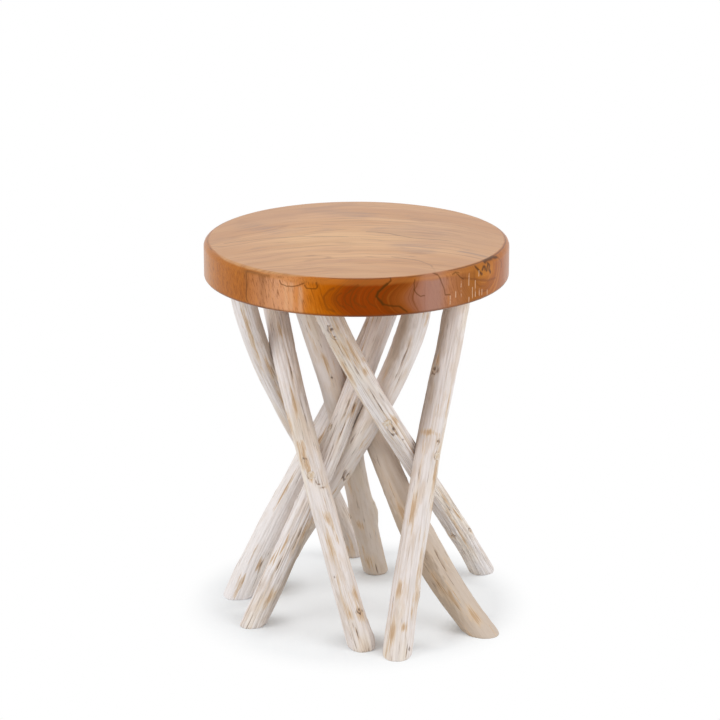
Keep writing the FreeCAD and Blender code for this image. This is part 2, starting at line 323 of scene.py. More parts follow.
branches = {}
chance = random.Random(11)
for number, branch in enumerate(branch_shares):
    marks = list(branch_marks[branch])
    for kind, how_many, usual_length, usual_width in hidden_marks:
        for _ in range(how_many):
            length = usual_length * chance.uniform(0.6, 1.5)
            width = usual_width * chance.uniform(0.8, 1.3)
            mark_share = chance.uniform(*hidden_shares)
            mark_turn = chance.uniform(*hidden_turns)
            marks.append((kind, mark_share, mark_turn, length, width))
    marks += [plug_mark(outer, inner) for outer, inner in crossings if outer == branch]
    inners = [inner for outer, inner in crossings if outer == branch]
    coarse, foot_brown, top_brown, shade = branch_nature[branch]

    bm = straight_bm.copy()
    straightened = bm.verts.layers.float_vector.new("straightened")
    layers = {name: bm.verts.layers.float.new(name) for name in kept_names}
    lean, yaw, stretch = branch_lean(branch)
    axis = lean.normalized()
    front, right = front_and_right(axis)
    level_turn = Matrix.Rotation(yaw, 3, "Z")
    seed = Vector((3.1, 1.7, 7.3 * number))
    for vert in bm.verts:
        share = vert.co.z + 0.5
        share -= ring_crowding * math.sin(2 * math.pi * share) / (2 * math.pi)
        out_share = min(1, math.hypot(vert.co.x, vert.co.y))
        radius = branch_radius(branch, share)
        middle = branch_middle(branch, share)
        level = level_turn @ Vector((vert.co.x * stretch, vert.co.y, 0))
        outward = (level - axis * level.dot(axis)).normalized()
        facing = math.atan2(outward.dot(right), outward.dot(front))
        along = lean.length * share + radius * level.dot(axis)
        twisted = facing + grain_twist * share
        ring = Vector((math.cos(twisted), math.sin(twisted), 0))

        knob = noise.noise(ring * 0.7 + Vector((0, 0, along / knob_length)) + seed)
        facet = noise.noise(ring * 1.6 + Vector((0, 0, along / facet_length)) - seed)
        furrow = noise.noise(ring * 4.2 + Vector((0, 0, along / furrow_length)) + seed * 2)
        furrow = max(0, 1 - abs(furrow) / furrow_width)
        ridge = noise.noise(ring * 8.5 + Vector((0, 0, along / ridge_length)) - seed * 2)
        warp = noise.noise(ring * 5.0 + Vector((0, 0, along / warp_length)) + seed * 3)
        drawn_in = (furrow_depth * furrow - ridge_height * ridge) * coarse
        proud = (knob_height * knob + facet_height * facet - drawn_in + spare_height) * mm
        worn = 0
        dark = 0
        shady = 0
        for kind, mark_share, mark_turn, length, width in marks:
            rise = (along - mark_share * lean.length) / (length * mm)
            if abs(rise) > 4:
                continue
            round_by = math.remainder(facing - math.radians(mark_turn), 2 * math.pi) * radius / (width * mm)
            far = math.hypot(rise, round_by)
            if far > 4:
                continue
            if kind == "plug":
                flat = 1 / (1 + math.exp((far - 1.35) * 14))
                proud = proud * (1 - flat) - 0.25 * mm * flat
                broken = 0.65 + 0.9 * warp
                dark = max(dark, broken * math.exp(-((far - 1.08) / 0.16) ** 2))
                worn = max(worn, 0.5 * math.exp(-((far - 1.2) / 0.4) ** 2))
                continue
            far *= 1 + 0.4 * warp
            spot = math.exp(-far ** 2)
            proud += mark_heights.get(kind, 0) * mm * spot
            # Painted shade patches, one with a sharp edge and one soft
            if kind == "shady":
                shady = max(shady, 1.7 / (1 + math.exp((far - 1) * 12)))
            elif kind == "dim":
                shady = max(shady, 1.3 * spot)
            elif kind == "crest":
                proud += 2.0 * mm * math.exp(-abs(round_by) * 1.2 - rise ** 2)
            elif kind == "chip":
                wide = max(abs(rise), abs(round_by)) * (1 + 0.25 * warp)
                scooped = 1 / (1 + math.exp((wide - 1) * 16))
                worn = max(worn, 0.85 * scooped)
                proud -= 0.9 * mm * scooped
            elif kind == "worn":
                worn = max(worn, spot)
            elif kind == "split":
                dark = max(dark, 0.8 * spot)
                worn = max(worn, 0.6 * math.exp(-far ** 2 / 4))
            elif kind == "pit":
                dark = max(dark, spot)
            elif kind == "knot":
                eye = math.exp(-(far / 0.42) ** 2)
                lip = math.exp(-((far - 0.95) / 0.28) ** 2)
                lip *= 0.5 + 0.5 * math.cos(math.atan2(round_by, rise) - 40 * mark_share)
                dark = max(dark, eye, 0.95 * lip)
                worn = max(worn, 0.65 * math.exp(-(far / 1.6) ** 2))
                proud += (1.8 * math.exp(-(far / 1.9) ** 2) - 2.2 * eye - 1.1 * lip) * mm
        end = min(share, 1 - share) * branch_height
        rounding = foot_easing * math.exp(-share * branch_height / foot_easing_height)
        # Painted shade on the sides that face the middle of the bundle or the floor
        inward = -Vector((middle.x, middle.y, 0)) / bundle_radius
        inner_painted_shade = outward.dot(inward) * 0.7 + max(0, -outward.z) * 0.6
        flat_ring = ring * radius * out_share
        vert[straightened] = Vector((flat_ring.x, flat_ring.y, along + next_stick * number))
        vert[layers["furrow"]] = furrow * coarse
        vert[layers["worn"]] = worn
        vert[layers["dark"]] = dark
        vert[layers["inner_painted_shade"]] = max(0, shady, min(1, inner_painted_shade * shade))
        vert[layers["brown"]] = foot_brown * (1 - share) + top_brown * share
        vert[layers["coarse"]] = coarse
        shifted = outward * proud * out_share
        shifted.z *= min(1, end / level_end)
        point = middle + level * (radius - rounding) + shifted
        for inner in inners:
            point = off_the_inner(point, inner)
        vert.co = point
    mesh = bpy.data.meshes.new(f"branch_{branch}")
    bm.to_mesh(mesh)
    bm.free()
    piece = bpy.data.objects.new(f"branch_{branch}", mesh)
    bpy.context.scene.collection.objects.link(piece)
    branches[branch] = piece
straight_bm.free()


def add(tree, kind, inputs=None, **settings):
    """A shader node; each input is a value or another node's output."""
    node = tree.nodes.new(kind)
    for name, setting in settings.items():
        setattr(node, name, setting)
    for name, given in (inputs or {}).items():
        if isinstance(given, bpy.types.NodeSocket):
            tree.links.new(given, node.inputs[name])
        else:
            node.inputs[name].default_value = given
    return node


def calc(tree, operation, *values):
    """A sum on numbers."""
    return add(tree, "ShaderNodeMath", dict(enumerate(values)), operation=operation).outputs[0]


def tint(tree, share, first, second, way="MIX"):
    """Two colours blended by a share."""
    inputs = {0: share, 6: first, 7: second}
    return add(tree, "ShaderNodeMix", inputs, data_type="RGBA", blend_type=way).outputs[2]


def cloud(tree, place, stretch, detail=3.0, roughness=0.5):
    """Soft noise, 0 to 1, with so many waves to the metre along X, Y and Z."""
    stretched = add(tree, "ShaderNodeMapping", {"Vector": place, "Scale": stretch}).outputs[0]
    inputs = {"Vector": stretched, "Scale": 1.0, "Detail": detail, "Roughness": roughness}
    return add(tree, "ShaderNodeTexNoise", inputs).outputs["Fac"]


def ease(tree, value, low, high, top=1.0):
    """A value taken smoothly from 0 at low to the top at high."""
    inputs = {"Value": value, "From Min": low, "From Max": high, "To Max": top}
    return add(tree, "ShaderNodeMapRange", inputs, interpolation_type="SMOOTHSTEP").outputs[0]


def new_finish(name):
    """A material with a principled shader."""
    finish = bpy.data.materials.new(name)
    finish.use_nodes = True
    return finish, finish.node_tree, finish.node_tree.nodes["Principled BSDF"]


def roughen(tree, shader, height, depth, strength=1.0):
    """A bumpy surface from a height of 0 to 1."""
    inputs = {"Height": height, "Distance": depth, "Strength": strength}
    tree.links.new(add(tree, "ShaderNodeBump", inputs).outputs[0], shader.inputs["Normal"])


whitewash, tree, shader = new_finish("whitewashed_branch")
place = add(tree, "ShaderNodeAttribute", attribute_name="straightened").outputs["Vector"]
kept = {}
for name in kept_names:
    kept[name] = add(tree, "ShaderNodeAttribute", attribute_name=name).outputs["Fac"]
lilac = (0.85, 0.795, 0.78, 1)
cream = (0.84, 0.755, 0.665, 1)
straw = (0.62, 0.48, 0.345, 1)
ochre = (0.68, 0.53, 0.385, 1)
tan = (0.52, 0.33, 0.18, 1)
drab = (0.40, 0.315, 0.245, 1)
umber = (0.22, 0.135, 0.09, 1)
soil = (0.085, 0.055, 0.04, 1)
patch = cloud(tree, place, (45, 45, 11), detail=2.0)
thick = cloud(tree, place, (75, 75, 14), detail=3.0, roughness=0.6)
blotch = cloud(tree, place, (85, 85, 24), detail=4.0, roughness=0.6)
bare = cloud(tree, place, (130, 130, 15), detail=3.0, roughness=0.6)
streak = cloud(tree, place, (400, 400, 10), detail=3.0, roughness=0.6)
fibre = cloud(tree, place, (760, 760, 26), detail=3.0, roughness=0.6)
dash = cloud(tree, place, (560, 560, 38), detail=2.0)
rag = cloud(tree, place, (330, 330, 60), detail=4.0, roughness=0.65)
colour = tint(tree, ease(tree, patch, 0.46, 0.7), lilac, cream)
colour = tint(tree, ease(tree, blotch, 0.48, 0.66, 0.55), colour, (0.70, 0.56, 0.445, 1))
thin = ease(tree, thick, 0.62, 0.44, 0.85)
thin = calc(tree, "MULTIPLY", calc(tree, "ADD", thin, 0.15), kept["coarse"])
colour = tint(tree, calc(tree, "MULTIPLY", ease(tree, streak, 0.5, 0.7, 0.7), thin), colour, straw)
colour = tint(tree, calc(tree, "MULTIPLY", ease(tree, fibre, 0.53, 0.68, 0.7), thin), colour, drab)
colour = tint(tree, calc(tree, "MULTIPLY", kept["furrow"], 0.35), colour, drab)
# Painted shade: the inner and lower sides and the shade patches turn drab
inside = calc(tree, "MULTIPLY_ADD", rag, 0.5, kept["inner_painted_shade"])
colour = tint(tree, ease(tree, inside, 0.35, 1.6, 0.8), colour, drab)
colour = tint(tree, calc(tree, "MULTIPLY", kept["brown"], 0.6), colour, (0.555, 0.43, 0.315, 1))
colour = tint(tree, ease(tree, kept["brown"], 0.0, -1.0, 0.8), colour, (0.93, 0.895, 0.89, 1))
rubbed = calc(tree, "MAXIMUM", kept["worn"], ease(tree, bare, 0.57, 0.7, 0.8))
rubbed = calc(tree, "MULTIPLY_ADD", calc(tree, "SUBTRACT", fibre, 0.54), 2.2, rubbed)
rubbed = calc(tree, "MULTIPLY_ADD", calc(tree, "SUBTRACT", rag, 0.5), 0.9, rubbed)
colour = tint(tree, ease(tree, rubbed, 0.28, 0.55, 0.75), colour, ochre)
colour = tint(tree, ease(tree, rubbed, 0.58, 0.92, 0.75), colour, tan)
crack = calc(tree, "MULTIPLY", ease(tree, dash, 0.62, 0.72, 0.7), ease(tree, patch, 0.42, 0.56))
colour = tint(tree, crack, colour, umber)
cut = calc(tree, "MULTIPLY_ADD", calc(tree, "SUBTRACT", rag, 0.5), 1.4, kept["dark"])
colour = tint(tree, ease(tree, cut, 0.25, 0.7, 0.6), colour, umber)
colour = tint(tree, ease(tree, cut, 0.6, 1.0, 0.8), colour, soil)
tree.links.new(colour, shader.inputs["Base Color"])
shader.inputs["Roughness"].default_value = 0.72
shader.inputs["Specular IOR Level"].default_value = 0.3
height = calc(tree, "SUBTRACT", calc(tree, "MULTIPLY_ADD", rag, 0.5, 1.0), calc(tree, "ADD", fibre, crack))
roughen(tree, shader, height, 0.4 * mm, 0.6)

sawn, tree, shader = new_finish("sawn_branch_end")
place = add(tree, "ShaderNodeAttribute", attribute_name="straightened").outputs["Vector"]
level_place = add(tree, "ShaderNodeVectorMath", {0: place, 1: (1, 1, 0)}, operation="MULTIPLY").outputs[0]
out = add(tree, "ShaderNodeVectorMath", {0: level_place}, operation="LENGTH").outputs["Value"]
ring_reach = calc(tree, "MULTIPLY_ADD", cloud(tree, place, (120, 120, 1)), 0.003, out)
year = calc(tree, "SINE", calc(tree, "MULTIPLY", ring_reach, 3000.0))
saw = cloud(tree, place, (900, 120, 1), detail=3.0)
colour = tint(tree, ease(tree, year, -0.4, 1.0, 0.6), (0.66, 0.54, 0.41, 1), (0.45, 0.31, 0.19, 1))
colour = tint(tree, ease(tree, saw, 0.4, 0.7, 0.5), colour, (0.72, 0.65, 0.58, 1))
tree.links.new(colour, shader.inputs["Base Color"])
shader.inputs["Roughness"].default_value = 0.85
roughen(tree, shader, saw, 0.4 * mm, 0.6)
for branch, piece in branches.items():
    piece.data.materials.append(whitewash)
    piece.data.materials.append(sawn)
    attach(piece, "root")
    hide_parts(f"leg_{branch}")

# The screws
# Countersunk wood screws of zinc-plated steel, driven through the outer branch into the inner one.
zinc, tree, shader = new_finish("zinc_plated_steel")
place = add(tree, "ShaderNodeTexCoord").outputs["Object"]
dull = cloud(tree, place, (900, 900, 900), detail=3.0)
tree.links.new(tint(tree, dull, (0.55, 0.56, 0.57, 1), (0.68, 0.68, 0.66, 1)), shader.inputs["Base Color"])
tree.links.new(ease(tree, dull, 0.2, 0.8, 0.5), shader.inputs["Roughness"])
shader.inputs["Metallic"].default_value = 1.0
for outer, inner in crossings:
    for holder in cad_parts[f"screw_{outer}_to_{inner}"].material_slots:
        holder.material = zinc

# The plugs
# Short wooden plugs glued over the screw heads, sanded flush and whitewashed with the branches.
plug_wash, tree, shader = new_finish("whitewashed_plug")
place = add(tree, "ShaderNodeTexCoord").outputs["Object"]
pore = cloud(tree, place, (1400, 1400, 1400), detail=2.0)
wash = cloud(tree, place, (260, 260, 260), detail=3.0)
colour = tint(tree, ease(tree, wash, 0.35, 0.7), (0.74, 0.66, 0.58, 1), (0.60, 0.44, 0.28, 1))
colour = tint(tree, ease(tree, pore, 0.58, 0.75, 0.6), colour, (0.22, 0.14, 0.08, 1))
tree.links.new(colour, shader.inputs["Base Color"])
shader.inputs["Roughness"].default_value = 0.75
roughen(tree, shader, pore, 0.2 * mm, 0.5)
for outer, inner in crossings:
    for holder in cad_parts[f"plug_{outer}_to_{inner}"].material_slots:
        holder.material = plug_wash

# The dowels
# Beech rod, cut to length, glued into the head of each branch and up into the slab.
beech, tree, shader = new_finish("beech_dowel")
place = add(tree, "ShaderNodeTexCoord").outputs["Object"]
fleck = cloud(tree, place, (700, 700, 90), detail=3.0)
colour = tint(tree, ease(tree, fleck, 0.35, 0.7), (0.66, 0.46, 0.29, 1), (0.50, 0.32, 0.18, 1))
tree.links.new(colour, shader.inputs["Base Color"])
shader.inputs["Roughness"].default_value = 0.6
for branch in branch_shares:
    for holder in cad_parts[f"dowel_{branch}"].material_slots:
        holder.material = beech

# The slab
# A thick round of teak, its grain arching from side to side, turned true, its rims eased by hand and
# the whole lacquered. It sits on the dowels in the branches' heads.
slab_low, slab_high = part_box("top_slab")
slab_radius = (slab_high.x - slab_low.x) / 2
slab_thickness = slab_high.z - slab_low.z
slab_top_round = 7 * mm
slab_under_round = 4 * mm
slab_sides = 360
rim_unevenness = 0.3 * mm
rim_wave = 0.06
small_wave = 0.009

slab_bm = bmesh.new()
bmesh.ops.create_cone(
    slab_bm,
    cap_ends=True,
    segments=slab_sides,
    radius1=slab_radius,
    radius2=slab_radius,
    depth=slab_thickness,
)
slab_middle = slab_low.z + slab_thickness / 2
bmesh.ops.translate(slab_bm, verts=slab_bm.verts, vec=(0, 0, slab_middle))
for side, rounding in ((1, slab_top_round), (-1, slab_under_round)):
    rim = [e for e in slab_bm.edges if all((v.co.z - slab_middle) * side > 0 for v in e.verts)]
    bmesh.ops.bevel(
        slab_bm, geom=rim, offset=rounding, segments=8, profile=0.5, affect="EDGES", material=-1
    )
ring_ends(slab_bm, 6)
for face in slab_bm.faces:
    face.smooth = abs(face.normal.z) < 0.999
for vert in slab_bm.verts:
    outward = Vector((vert.co.x, vert.co.y, 0)) / slab_radius
    dent = noise.noise(vert.co / rim_wave) + 0.5 * noise.noise(vert.co / small_wave)
    vert.co -= outward * rim_unevenness * (1.2 + dent)
slab_mesh = bpy.data.meshes.new("teak_slab")
slab_bm.to_mesh(slab_mesh)
slab_bm.free()
slab = bpy.data.objects.new("teak_slab", slab_mesh)
bpy.context.scene.collection.objects.link(slab)


def line_distance(tree, point, stations):
    """How far a point lies from a line drawn through stations given in millimetres."""
    nearest = None
    for start, end in zip(stations, stations[1:]):
        start = Vector((*start, 0)) * mm
        run = Vector((*end, 0)) * mm - start
        off = add(tree, "ShaderNodeVectorMath", {0: point, 1: start}, operation="SUBTRACT").outputs[0]
        inputs = {0: off, 1: run / run.length_squared}
        passed = add(tree, "ShaderNodeVectorMath", inputs, operation="DOT_PRODUCT").outputs["Value"]
        passed = add(tree, "ShaderNodeClamp", {0: passed}).outputs[0]
        foot = add(tree, "ShaderNodeVectorMath", {0: run, "Scale": passed}, operation="SCALE").outputs[0]
        gap = add(tree, "ShaderNodeVectorMath", {0: off, 1: foot}, operation="DISTANCE").outputs["Value"]
        nearest = gap if nearest is None else calc(tree, "MINIMUM", nearest, gap)
    return nearest


def drawn(tree, point, lines, width, top):
    """A soft stroke along each of the lines."""
    nearest = None
    for stations in lines:
        gap = line_distance(tree, point, stations)
        nearest = gap if nearest is None else calc(tree, "MINIMUM", nearest, gap)
    inputs = {"Value": nearest, "From Min": 0.1 * width, "From Max": width, "To Min": top, "To Max": 0.0}
    return add(tree, "ShaderNodeMapRange", inputs, interpolation_type="SMOOTHSTEP").outputs[0]


def shaken(tree, point, waves, reach):
    """A point moved about by noise, so that a line drawn there isn't ruled."""
    inputs = {"Vector": point, "Scale": waves, "Detail": 3.0}
    shake = add(tree, "ShaderNodeTexNoise", inputs).outputs["Color"]
    inputs = {0: shake, 1: (0.5, 0.5, 0.5)}
    shake = add(tree, "ShaderNodeVectorMath", inputs, operation="SUBTRACT").outputs[0]
    inputs = {0: shake, 1: (reach, reach, 0), 2: point}
    return add(tree, "ShaderNodeVectorMath", inputs, operation="MULTIPLY_ADD").outputs[0]


teak, tree, shader = new_finish("lacquered_teak")
place = add(tree, "ShaderNodeTexCoord").outputs["Object"]
axes = add(tree, "ShaderNodeSeparateXYZ", {0: place})
across, deep, high = axes.outputs[0], axes.outputs[1], axes.outputs[2]
face_point = add(tree, "ShaderNodeCombineXYZ", {0: across, 1: deep}).outputs[0]
reach = add(tree, "ShaderNodeVectorMath", {0: face_point}, operation="LENGTH").outputs["Value"]

# The face: the grain arches, so depth is measured from a bowed line.
grain_bow = 2.6
bowed = calc(tree, "MULTIPLY_ADD", calc(tree, "MULTIPLY", across, across), grain_bow, deep)
bowed = calc(tree, "MULTIPLY_ADD", cloud(tree, place, (7, 7, 10), detail=2.0), 0.04, bowed)
grain = add(tree, "ShaderNodeCombineXYZ", {0: across, 1: bowed, 2: high}).outputs[0]
broad = cloud(tree, grain, (4, 24, 16), detail=3.0)
blush = cloud(tree, grain, (8, 48, 20), detail=3.0, roughness=0.55)
grain_streak = cloud(tree, grain, (7, 140, 60), detail=4.0, roughness=0.65)
fine = cloud(tree, grain, (25, 700, 240), detail=2.0)
smudge = cloud(tree, grain, (12, 26, 10), detail=4.0, roughness=0.6)
years = calc(tree, "MULTIPLY", cloud(tree, grain, (2.4, 30, 12), detail=2.0, roughness=0.4), 16.0)
years = calc(tree, "PINGPONG", years, 0.5)
pale = (0.70, 0.388, 0.172, 1)
honey = (0.575, 0.275, 0.10, 1)
rose = (0.51, 0.24, 0.12, 1)
nut_brown = (0.33, 0.135, 0.05, 1)
ash = (0.33, 0.175, 0.11, 1)
sepia = (0.12, 0.042, 0.014, 1)
face_colour = tint(tree, ease(tree, broad, 0.39, 0.63), pale, honey)
face_colour = tint(tree, ease(tree, blush, 0.48, 0.7, 0.6), face_colour, rose)
face_colour = tint(tree, ease(tree, grain_streak, 0.5, 0.7, 0.72), face_colour, nut_brown)
face_colour = tint(tree, ease(tree, years, 0.13, 0.02, 0.48), face_colour, nut_brown)
face_colour = tint(tree, ease(tree, fine, 0.55, 0.8, 0.35), face_colour, nut_brown)
face_colour = tint(tree, ease(tree, smudge, 0.55, 0.72, 0.55), face_colour, ash)
face_smudges = (
    ((-123, 53), (-99, 35)),
    ((-53, 128), (4, 104)),
    ((55, -36), (78, -53)),
)
face_lines = (
    ((12, 27), (24, 25), (36, 20), (50, 9), (65, -1), (80, -5), (95, -8), (108, -16)),
    ((6, -4), (20, -8), (34, -13), (50, -20), (64, -27)),
    ((40, -82), (54, -89), (64, -94), (70, -99), (77, -107)),
    ((77, -107), (82, -116), (84, -129), (87, -150), (92, -166)),
    ((-166, -39), (-150, -38), (-136, -34)),
    ((-150, -24), (-130, -14), (-105, -4), (-75, 4), (-40, 7), (-10, 5)),
)
shaken_face = shaken(tree, face_point, 60.0, 0.014)
for area, width, top, area_colour in (
    (((70, 30), (130, -20)), 60 * mm, 0.25, ash),
    (((-100, 90), (-40, 125)), 50 * mm, 0.35, rose),
    (((-60, -10), (40, 10)), 60 * mm, 0.3, (0.70, 0.40, 0.16, 1)),
    (((-140, 60), (-90, 115)), 45 * mm, 0.3, (0.42, 0.20, 0.09, 1)),
    (((105, 85), (150, 30)), 45 * mm, 0.3, (0.42, 0.20, 0.09, 1)),
):
    face_colour = tint(tree, drawn(tree, shaken_face, (area,), width, top), face_colour, area_colour)
clump = ease(tree, grain_streak, 0.35, 0.6)
stain = calc(tree, "MULTIPLY", drawn(tree, shaken_face, face_smudges, 26 * mm, 0.8), clump)
face_colour = tint(tree, stain, face_colour, ash)
stain = calc(tree, "MULTIPLY", drawn(tree, shaken_face, (((122, -60), (140, -79)),), 13 * mm, 0.8), clump)
face_colour = tint(tree, stain, face_colour, (0.19, 0.13, 0.125, 1))
followed = shaken(tree, face_point, 35.0, 0.006)
thin_out = ease(tree, smudge, 0.36, 0.56)
stroke = calc(tree, "MULTIPLY", drawn(tree, followed, face_lines, 1.9 * mm, 0.62), thin_out)
face_colour = tint(tree, stroke, face_colour, sepia)
face_colour = tint(tree, ease(tree, reach, 0.07, 0.17, 0.5), face_colour, (0.50, 0.235, 0.095, 1))

# The rim: cut across the grain it drinks more lacquer, so it is darker and redder. Its colour changes on
# the way round, with painted reflections of the soft boxes as pale zones to the front's left and right;
# growth rings stand as nested arcs in three places, and a knot is at the front's right.
around = calc(tree, "ARCTAN2", across, calc(tree, "MULTIPLY", deep, -1.0))
around = calc(tree, "MULTIPLY", around, slab_radius)
over = calc(tree, "SUBTRACT", high, slab_low.z)
rim_point = add(tree, "ShaderNodeCombineXYZ", {0: around, 1: over}).outputs[0]
shaken_rim = shaken(tree, rim_point, 70.0, 0.004)
arc_middles = (18 * mm, 375 * mm, -395 * mm)
arc_level = 20 * mm
arc_bow = 42.0
beside = None
for arc_middle in arc_middles:
    gap = calc(tree, "ABSOLUTE", calc(tree, "SUBTRACT", around, arc_middle))
    beside = gap if beside is None else calc(tree, "MINIMUM", beside, gap)
nested = ease(tree, beside, 68 * mm, 38 * mm)
drop = calc(tree, "SUBTRACT", over, arc_level)
drop = calc(tree, "MULTIPLY", calc(tree, "MULTIPLY", drop, drop), arc_bow)
ringed = calc(tree, "SUBTRACT", around, calc(tree, "MULTIPLY", drop, nested))
bend = calc(tree, "SUBTRACT", cloud(tree, place, (30, 30, 30), detail=3.0), 0.5)
ringed = calc(tree, "MULTIPLY_ADD", bend, 14 * mm, ringed)
rim_zones = (
    (-550, (0.38, 0.13, 0.020, 1)),
    (-425, (0.50, 0.17, 0.030, 1)),
    (-390, (0.27, 0.050, 0.002, 1)),
    (-340, (0.33, 0.085, 0.008, 1)),
    (-225, (0.46, 0.17, 0.030, 1)),
    (-190, (0.41, 0.13, 0.014, 1)),
    (-138, (0.40, 0.118, 0.015, 1)),
    # painted reflection of the left soft box
    (-90, (0.66, 0.32, 0.170, 1)),
    (-76, (0.70, 0.32, 0.150, 1)),
    (-54, (0.58, 0.165, 0.012, 1)),
    (-40, (0.48, 0.113, 0.001, 1)),
    (-17, (0.26, 0.035, 0.001, 1)),
    (17, (0.26, 0.036, 0.001, 1)),
    (32, (0.21, 0.032, 0.001, 1)),
    (50, (0.28, 0.068, 0.010, 1)),
    # painted reflection of the right soft box
    (80, (0.40, 0.20, 0.152, 1)),
    (94, (0.39, 0.20, 0.150, 1)),
    (108, (0.42, 0.165, 0.075, 1)),
    (142, (0.32, 0.100, 0.010, 1)),
    (188, (0.36, 0.093, 0.004, 1)),
    (210, (0.33, 0.083, 0.004, 1)),
    (325, (0.46, 0.145, 0.016, 1)),
    (360, (0.29, 0.060, 0.003, 1)),
    (405, (0.37, 0.105, 0.012, 1)),
    (460, (0.47, 0.18, 0.040, 1)),
    (550, (0.38, 0.13, 0.020, 1)),
)
rim_start = rim_zones[0][0] * mm
rim_span = rim_zones[-1][0] * mm - rim_start
spread = calc(tree, "DIVIDE", calc(tree, "SUBTRACT", ringed, rim_start), rim_span)
rim_ramp = add(tree, "ShaderNodeValToRGB", {0: spread})
stops = rim_ramp.color_ramp.elements
for number, (stop_place, stop_colour) in enumerate(rim_zones):
    stop_share = (stop_place * mm - rim_start) / rim_span
    stop = stops.new(stop_share) if 0 < number < len(rim_zones) - 1 else stops[0 if number == 0 else -1]
    stop.color = stop_colour
rim_colour = rim_ramp.outputs[0]

russet = (0.15, 0.035, 0.003, 1)
gold = (0.60, 0.24, 0.03, 1)
dark_line = (0.075, 0.02, 0.002, 1)
grain_lean = 0.3
knot_place = Vector((168, 36, 0)) * mm
leaning = calc(tree, "MULTIPLY_ADD", over, grain_lean, across)
leaning_point = add(tree, "ShaderNodeCombineXYZ", {0: leaning, 1: deep, 2: over}).outputs[0]
ring_point = add(tree, "ShaderNodeCombineXYZ", {0: ringed, 1: over}).outputs[0]
inputs = {0: shaken_rim, 1: knot_place}
knot_gap = add(tree, "ShaderNodeVectorMath", inputs, operation="DISTANCE").outputs["Value"]
curl_point = add(tree, "ShaderNodeCombineXYZ", {0: knot_gap, 1: around}).outputs[0]
upright = cloud(tree, leaning_point, (620, 620, 42), detail=4.0, roughness=0.65)
ringlet = cloud(tree, ring_point, (300, 7, 1), detail=3.0, roughness=0.6)
curl = cloud(tree, curl_point, (260, 14, 1), detail=4.0, roughness=0.65)
curled = ease(tree, knot_gap, 66 * mm, 40 * mm)
# The figure fades across the painted reflection at the front's right, where sheen is low
sheen = ease(tree, calc(tree, "ABSOLUTE", calc(tree, "SUBTRACT", ringed, 84 * mm)), 10 * mm, 26 * mm, 0.8)
plain = calc(tree, "SUBTRACT", 1.0, calc(tree, "MAXIMUM", nested, curled))
plain = calc(tree, "MULTIPLY", plain, calc(tree, "ADD", sheen, 0.2))
for figure, weight, dark_top, light_top in (
    (upright, plain, 0.72, 0.42),
    (ringlet, nested, 0.8, 0.16),
    (curl, curled, 0.6, 0.5),
):
    dark_part = calc(tree, "MULTIPLY", ease(tree, figure, 0.47, 0.72, dark_top), weight)
    light_part = calc(tree, "MULTIPLY", ease(tree, figure, 0.46, 0.28, light_top), weight)
    rim_colour = tint(tree, dark_part, rim_colour, russet)
    rim_colour = tint(tree, light_part, rim_colour, gold)

edge_low = slab_thickness - slab_top_round
wander = cloud(tree, place, (45, 45, 1), detail=4.0, roughness=0.6)
band_low = calc(tree, "MULTIPLY_ADD", wander, 5 * mm, over)
band = ease(tree, band_low, edge_low + 1 * mm, edge_low + 5 * mm, 0.45)
rim_colour = tint(tree, band, rim_colour, (0.46, 0.165, 0.035, 1))

knot_glow = (((158, 33), (180, 30)),)
# Painted reflection of the left soft box: pale upright bands in the lacquer
painted_reflection_bands = (((-80, 32), (-79, 6)), ((-73, 34), (-73, 7)), ((-62, 30), (-62, 5)))
rim_arcs = (
    ((-25, 33), (-30, 30), (-35, 22), (-35, 15), (-31, 9), (-24, 7)),
    ((2, 37), (-3, 33), (-8, 29)),
    ((0, 25), (-3, 21), (-1, 17), (5, 13), (10, 12)),
    ((129, 32), (150, 26), (173, 20), (192, 18)),
    ((199, 40), (209, 32), (210, 26)),
    ((385, 37), (372, 30), (368, 21), (374, 12), (386, 6)),
    ((-372, 35), (-384, 28), (-386, 18), (-378, 10), (-370, 7)),
)
rim_rings = (
    ((-6, 31), (-12, 26), (-14, 21), (-11, 16), (-5, 12)),
    ((20, 34), (14, 28), (11, 22), (14, 16), (22, 11)),
    ((-16, 28), (-21, 24), (-22, 19), (-18, 14), (-12, 11)),
)
rim_lines = (
    ((66, 39), (64, 36), (64, 30), (67, 24), (72, 20), (77, 20)),
    ((90, 43), (95, 41), (98, 34), (101, 25), (103, 18), (109, 17)),
    ((-57, 34), (-55, 31), (-49, 31), (-44, 32), (-42, 35), (-44, 38)),
    ((-87, 36), (-85, 32), (-78, 31), (-66, 33), (-58, 36)),
    ((-134, 37), (-133, 28), (-134, 19), (-134, 10), (-132, 5)),
    ((-290, 38), (-293, 30), (-291, 20), (-295, 9)),
    ((-505, 40), (-500, 33), (-503, 24), (-496, 18)),
    ((440, 41), (446, 34), (444, 26), (450, 19), (449, 9)),
    ((280, 33), (287, 29), (298, 28), (306, 31)),
    ((113, 39), (118, 40), (123, 39)),
    ((118, 40), (125, 34), (129, 31)),
)
rim_knot = (
    ((151, 40), (153, 37), (156, 33), (161, 30)),
    ((161, 35), (163, 38), (166, 38), (167, 34)),
    ((170, 32), (171, 36), (174, 39), (176, 36), (175, 32), (179, 28)),
    ((169, 42), (179, 42), (188, 42), (198, 40)),
)
rim_main_line = (((38, 43), (38, 40), (29, 34), (24, 29), (22, 24)),)
rim_main_line += (((22, 24), (26, 19), (29, 15), (35, 13), (47, 11), (51, 9), (56, 4)),)
rim_apex = (((33, 37), (29, 34), (24, 29), (22, 24), (26, 19), (29, 15)),)
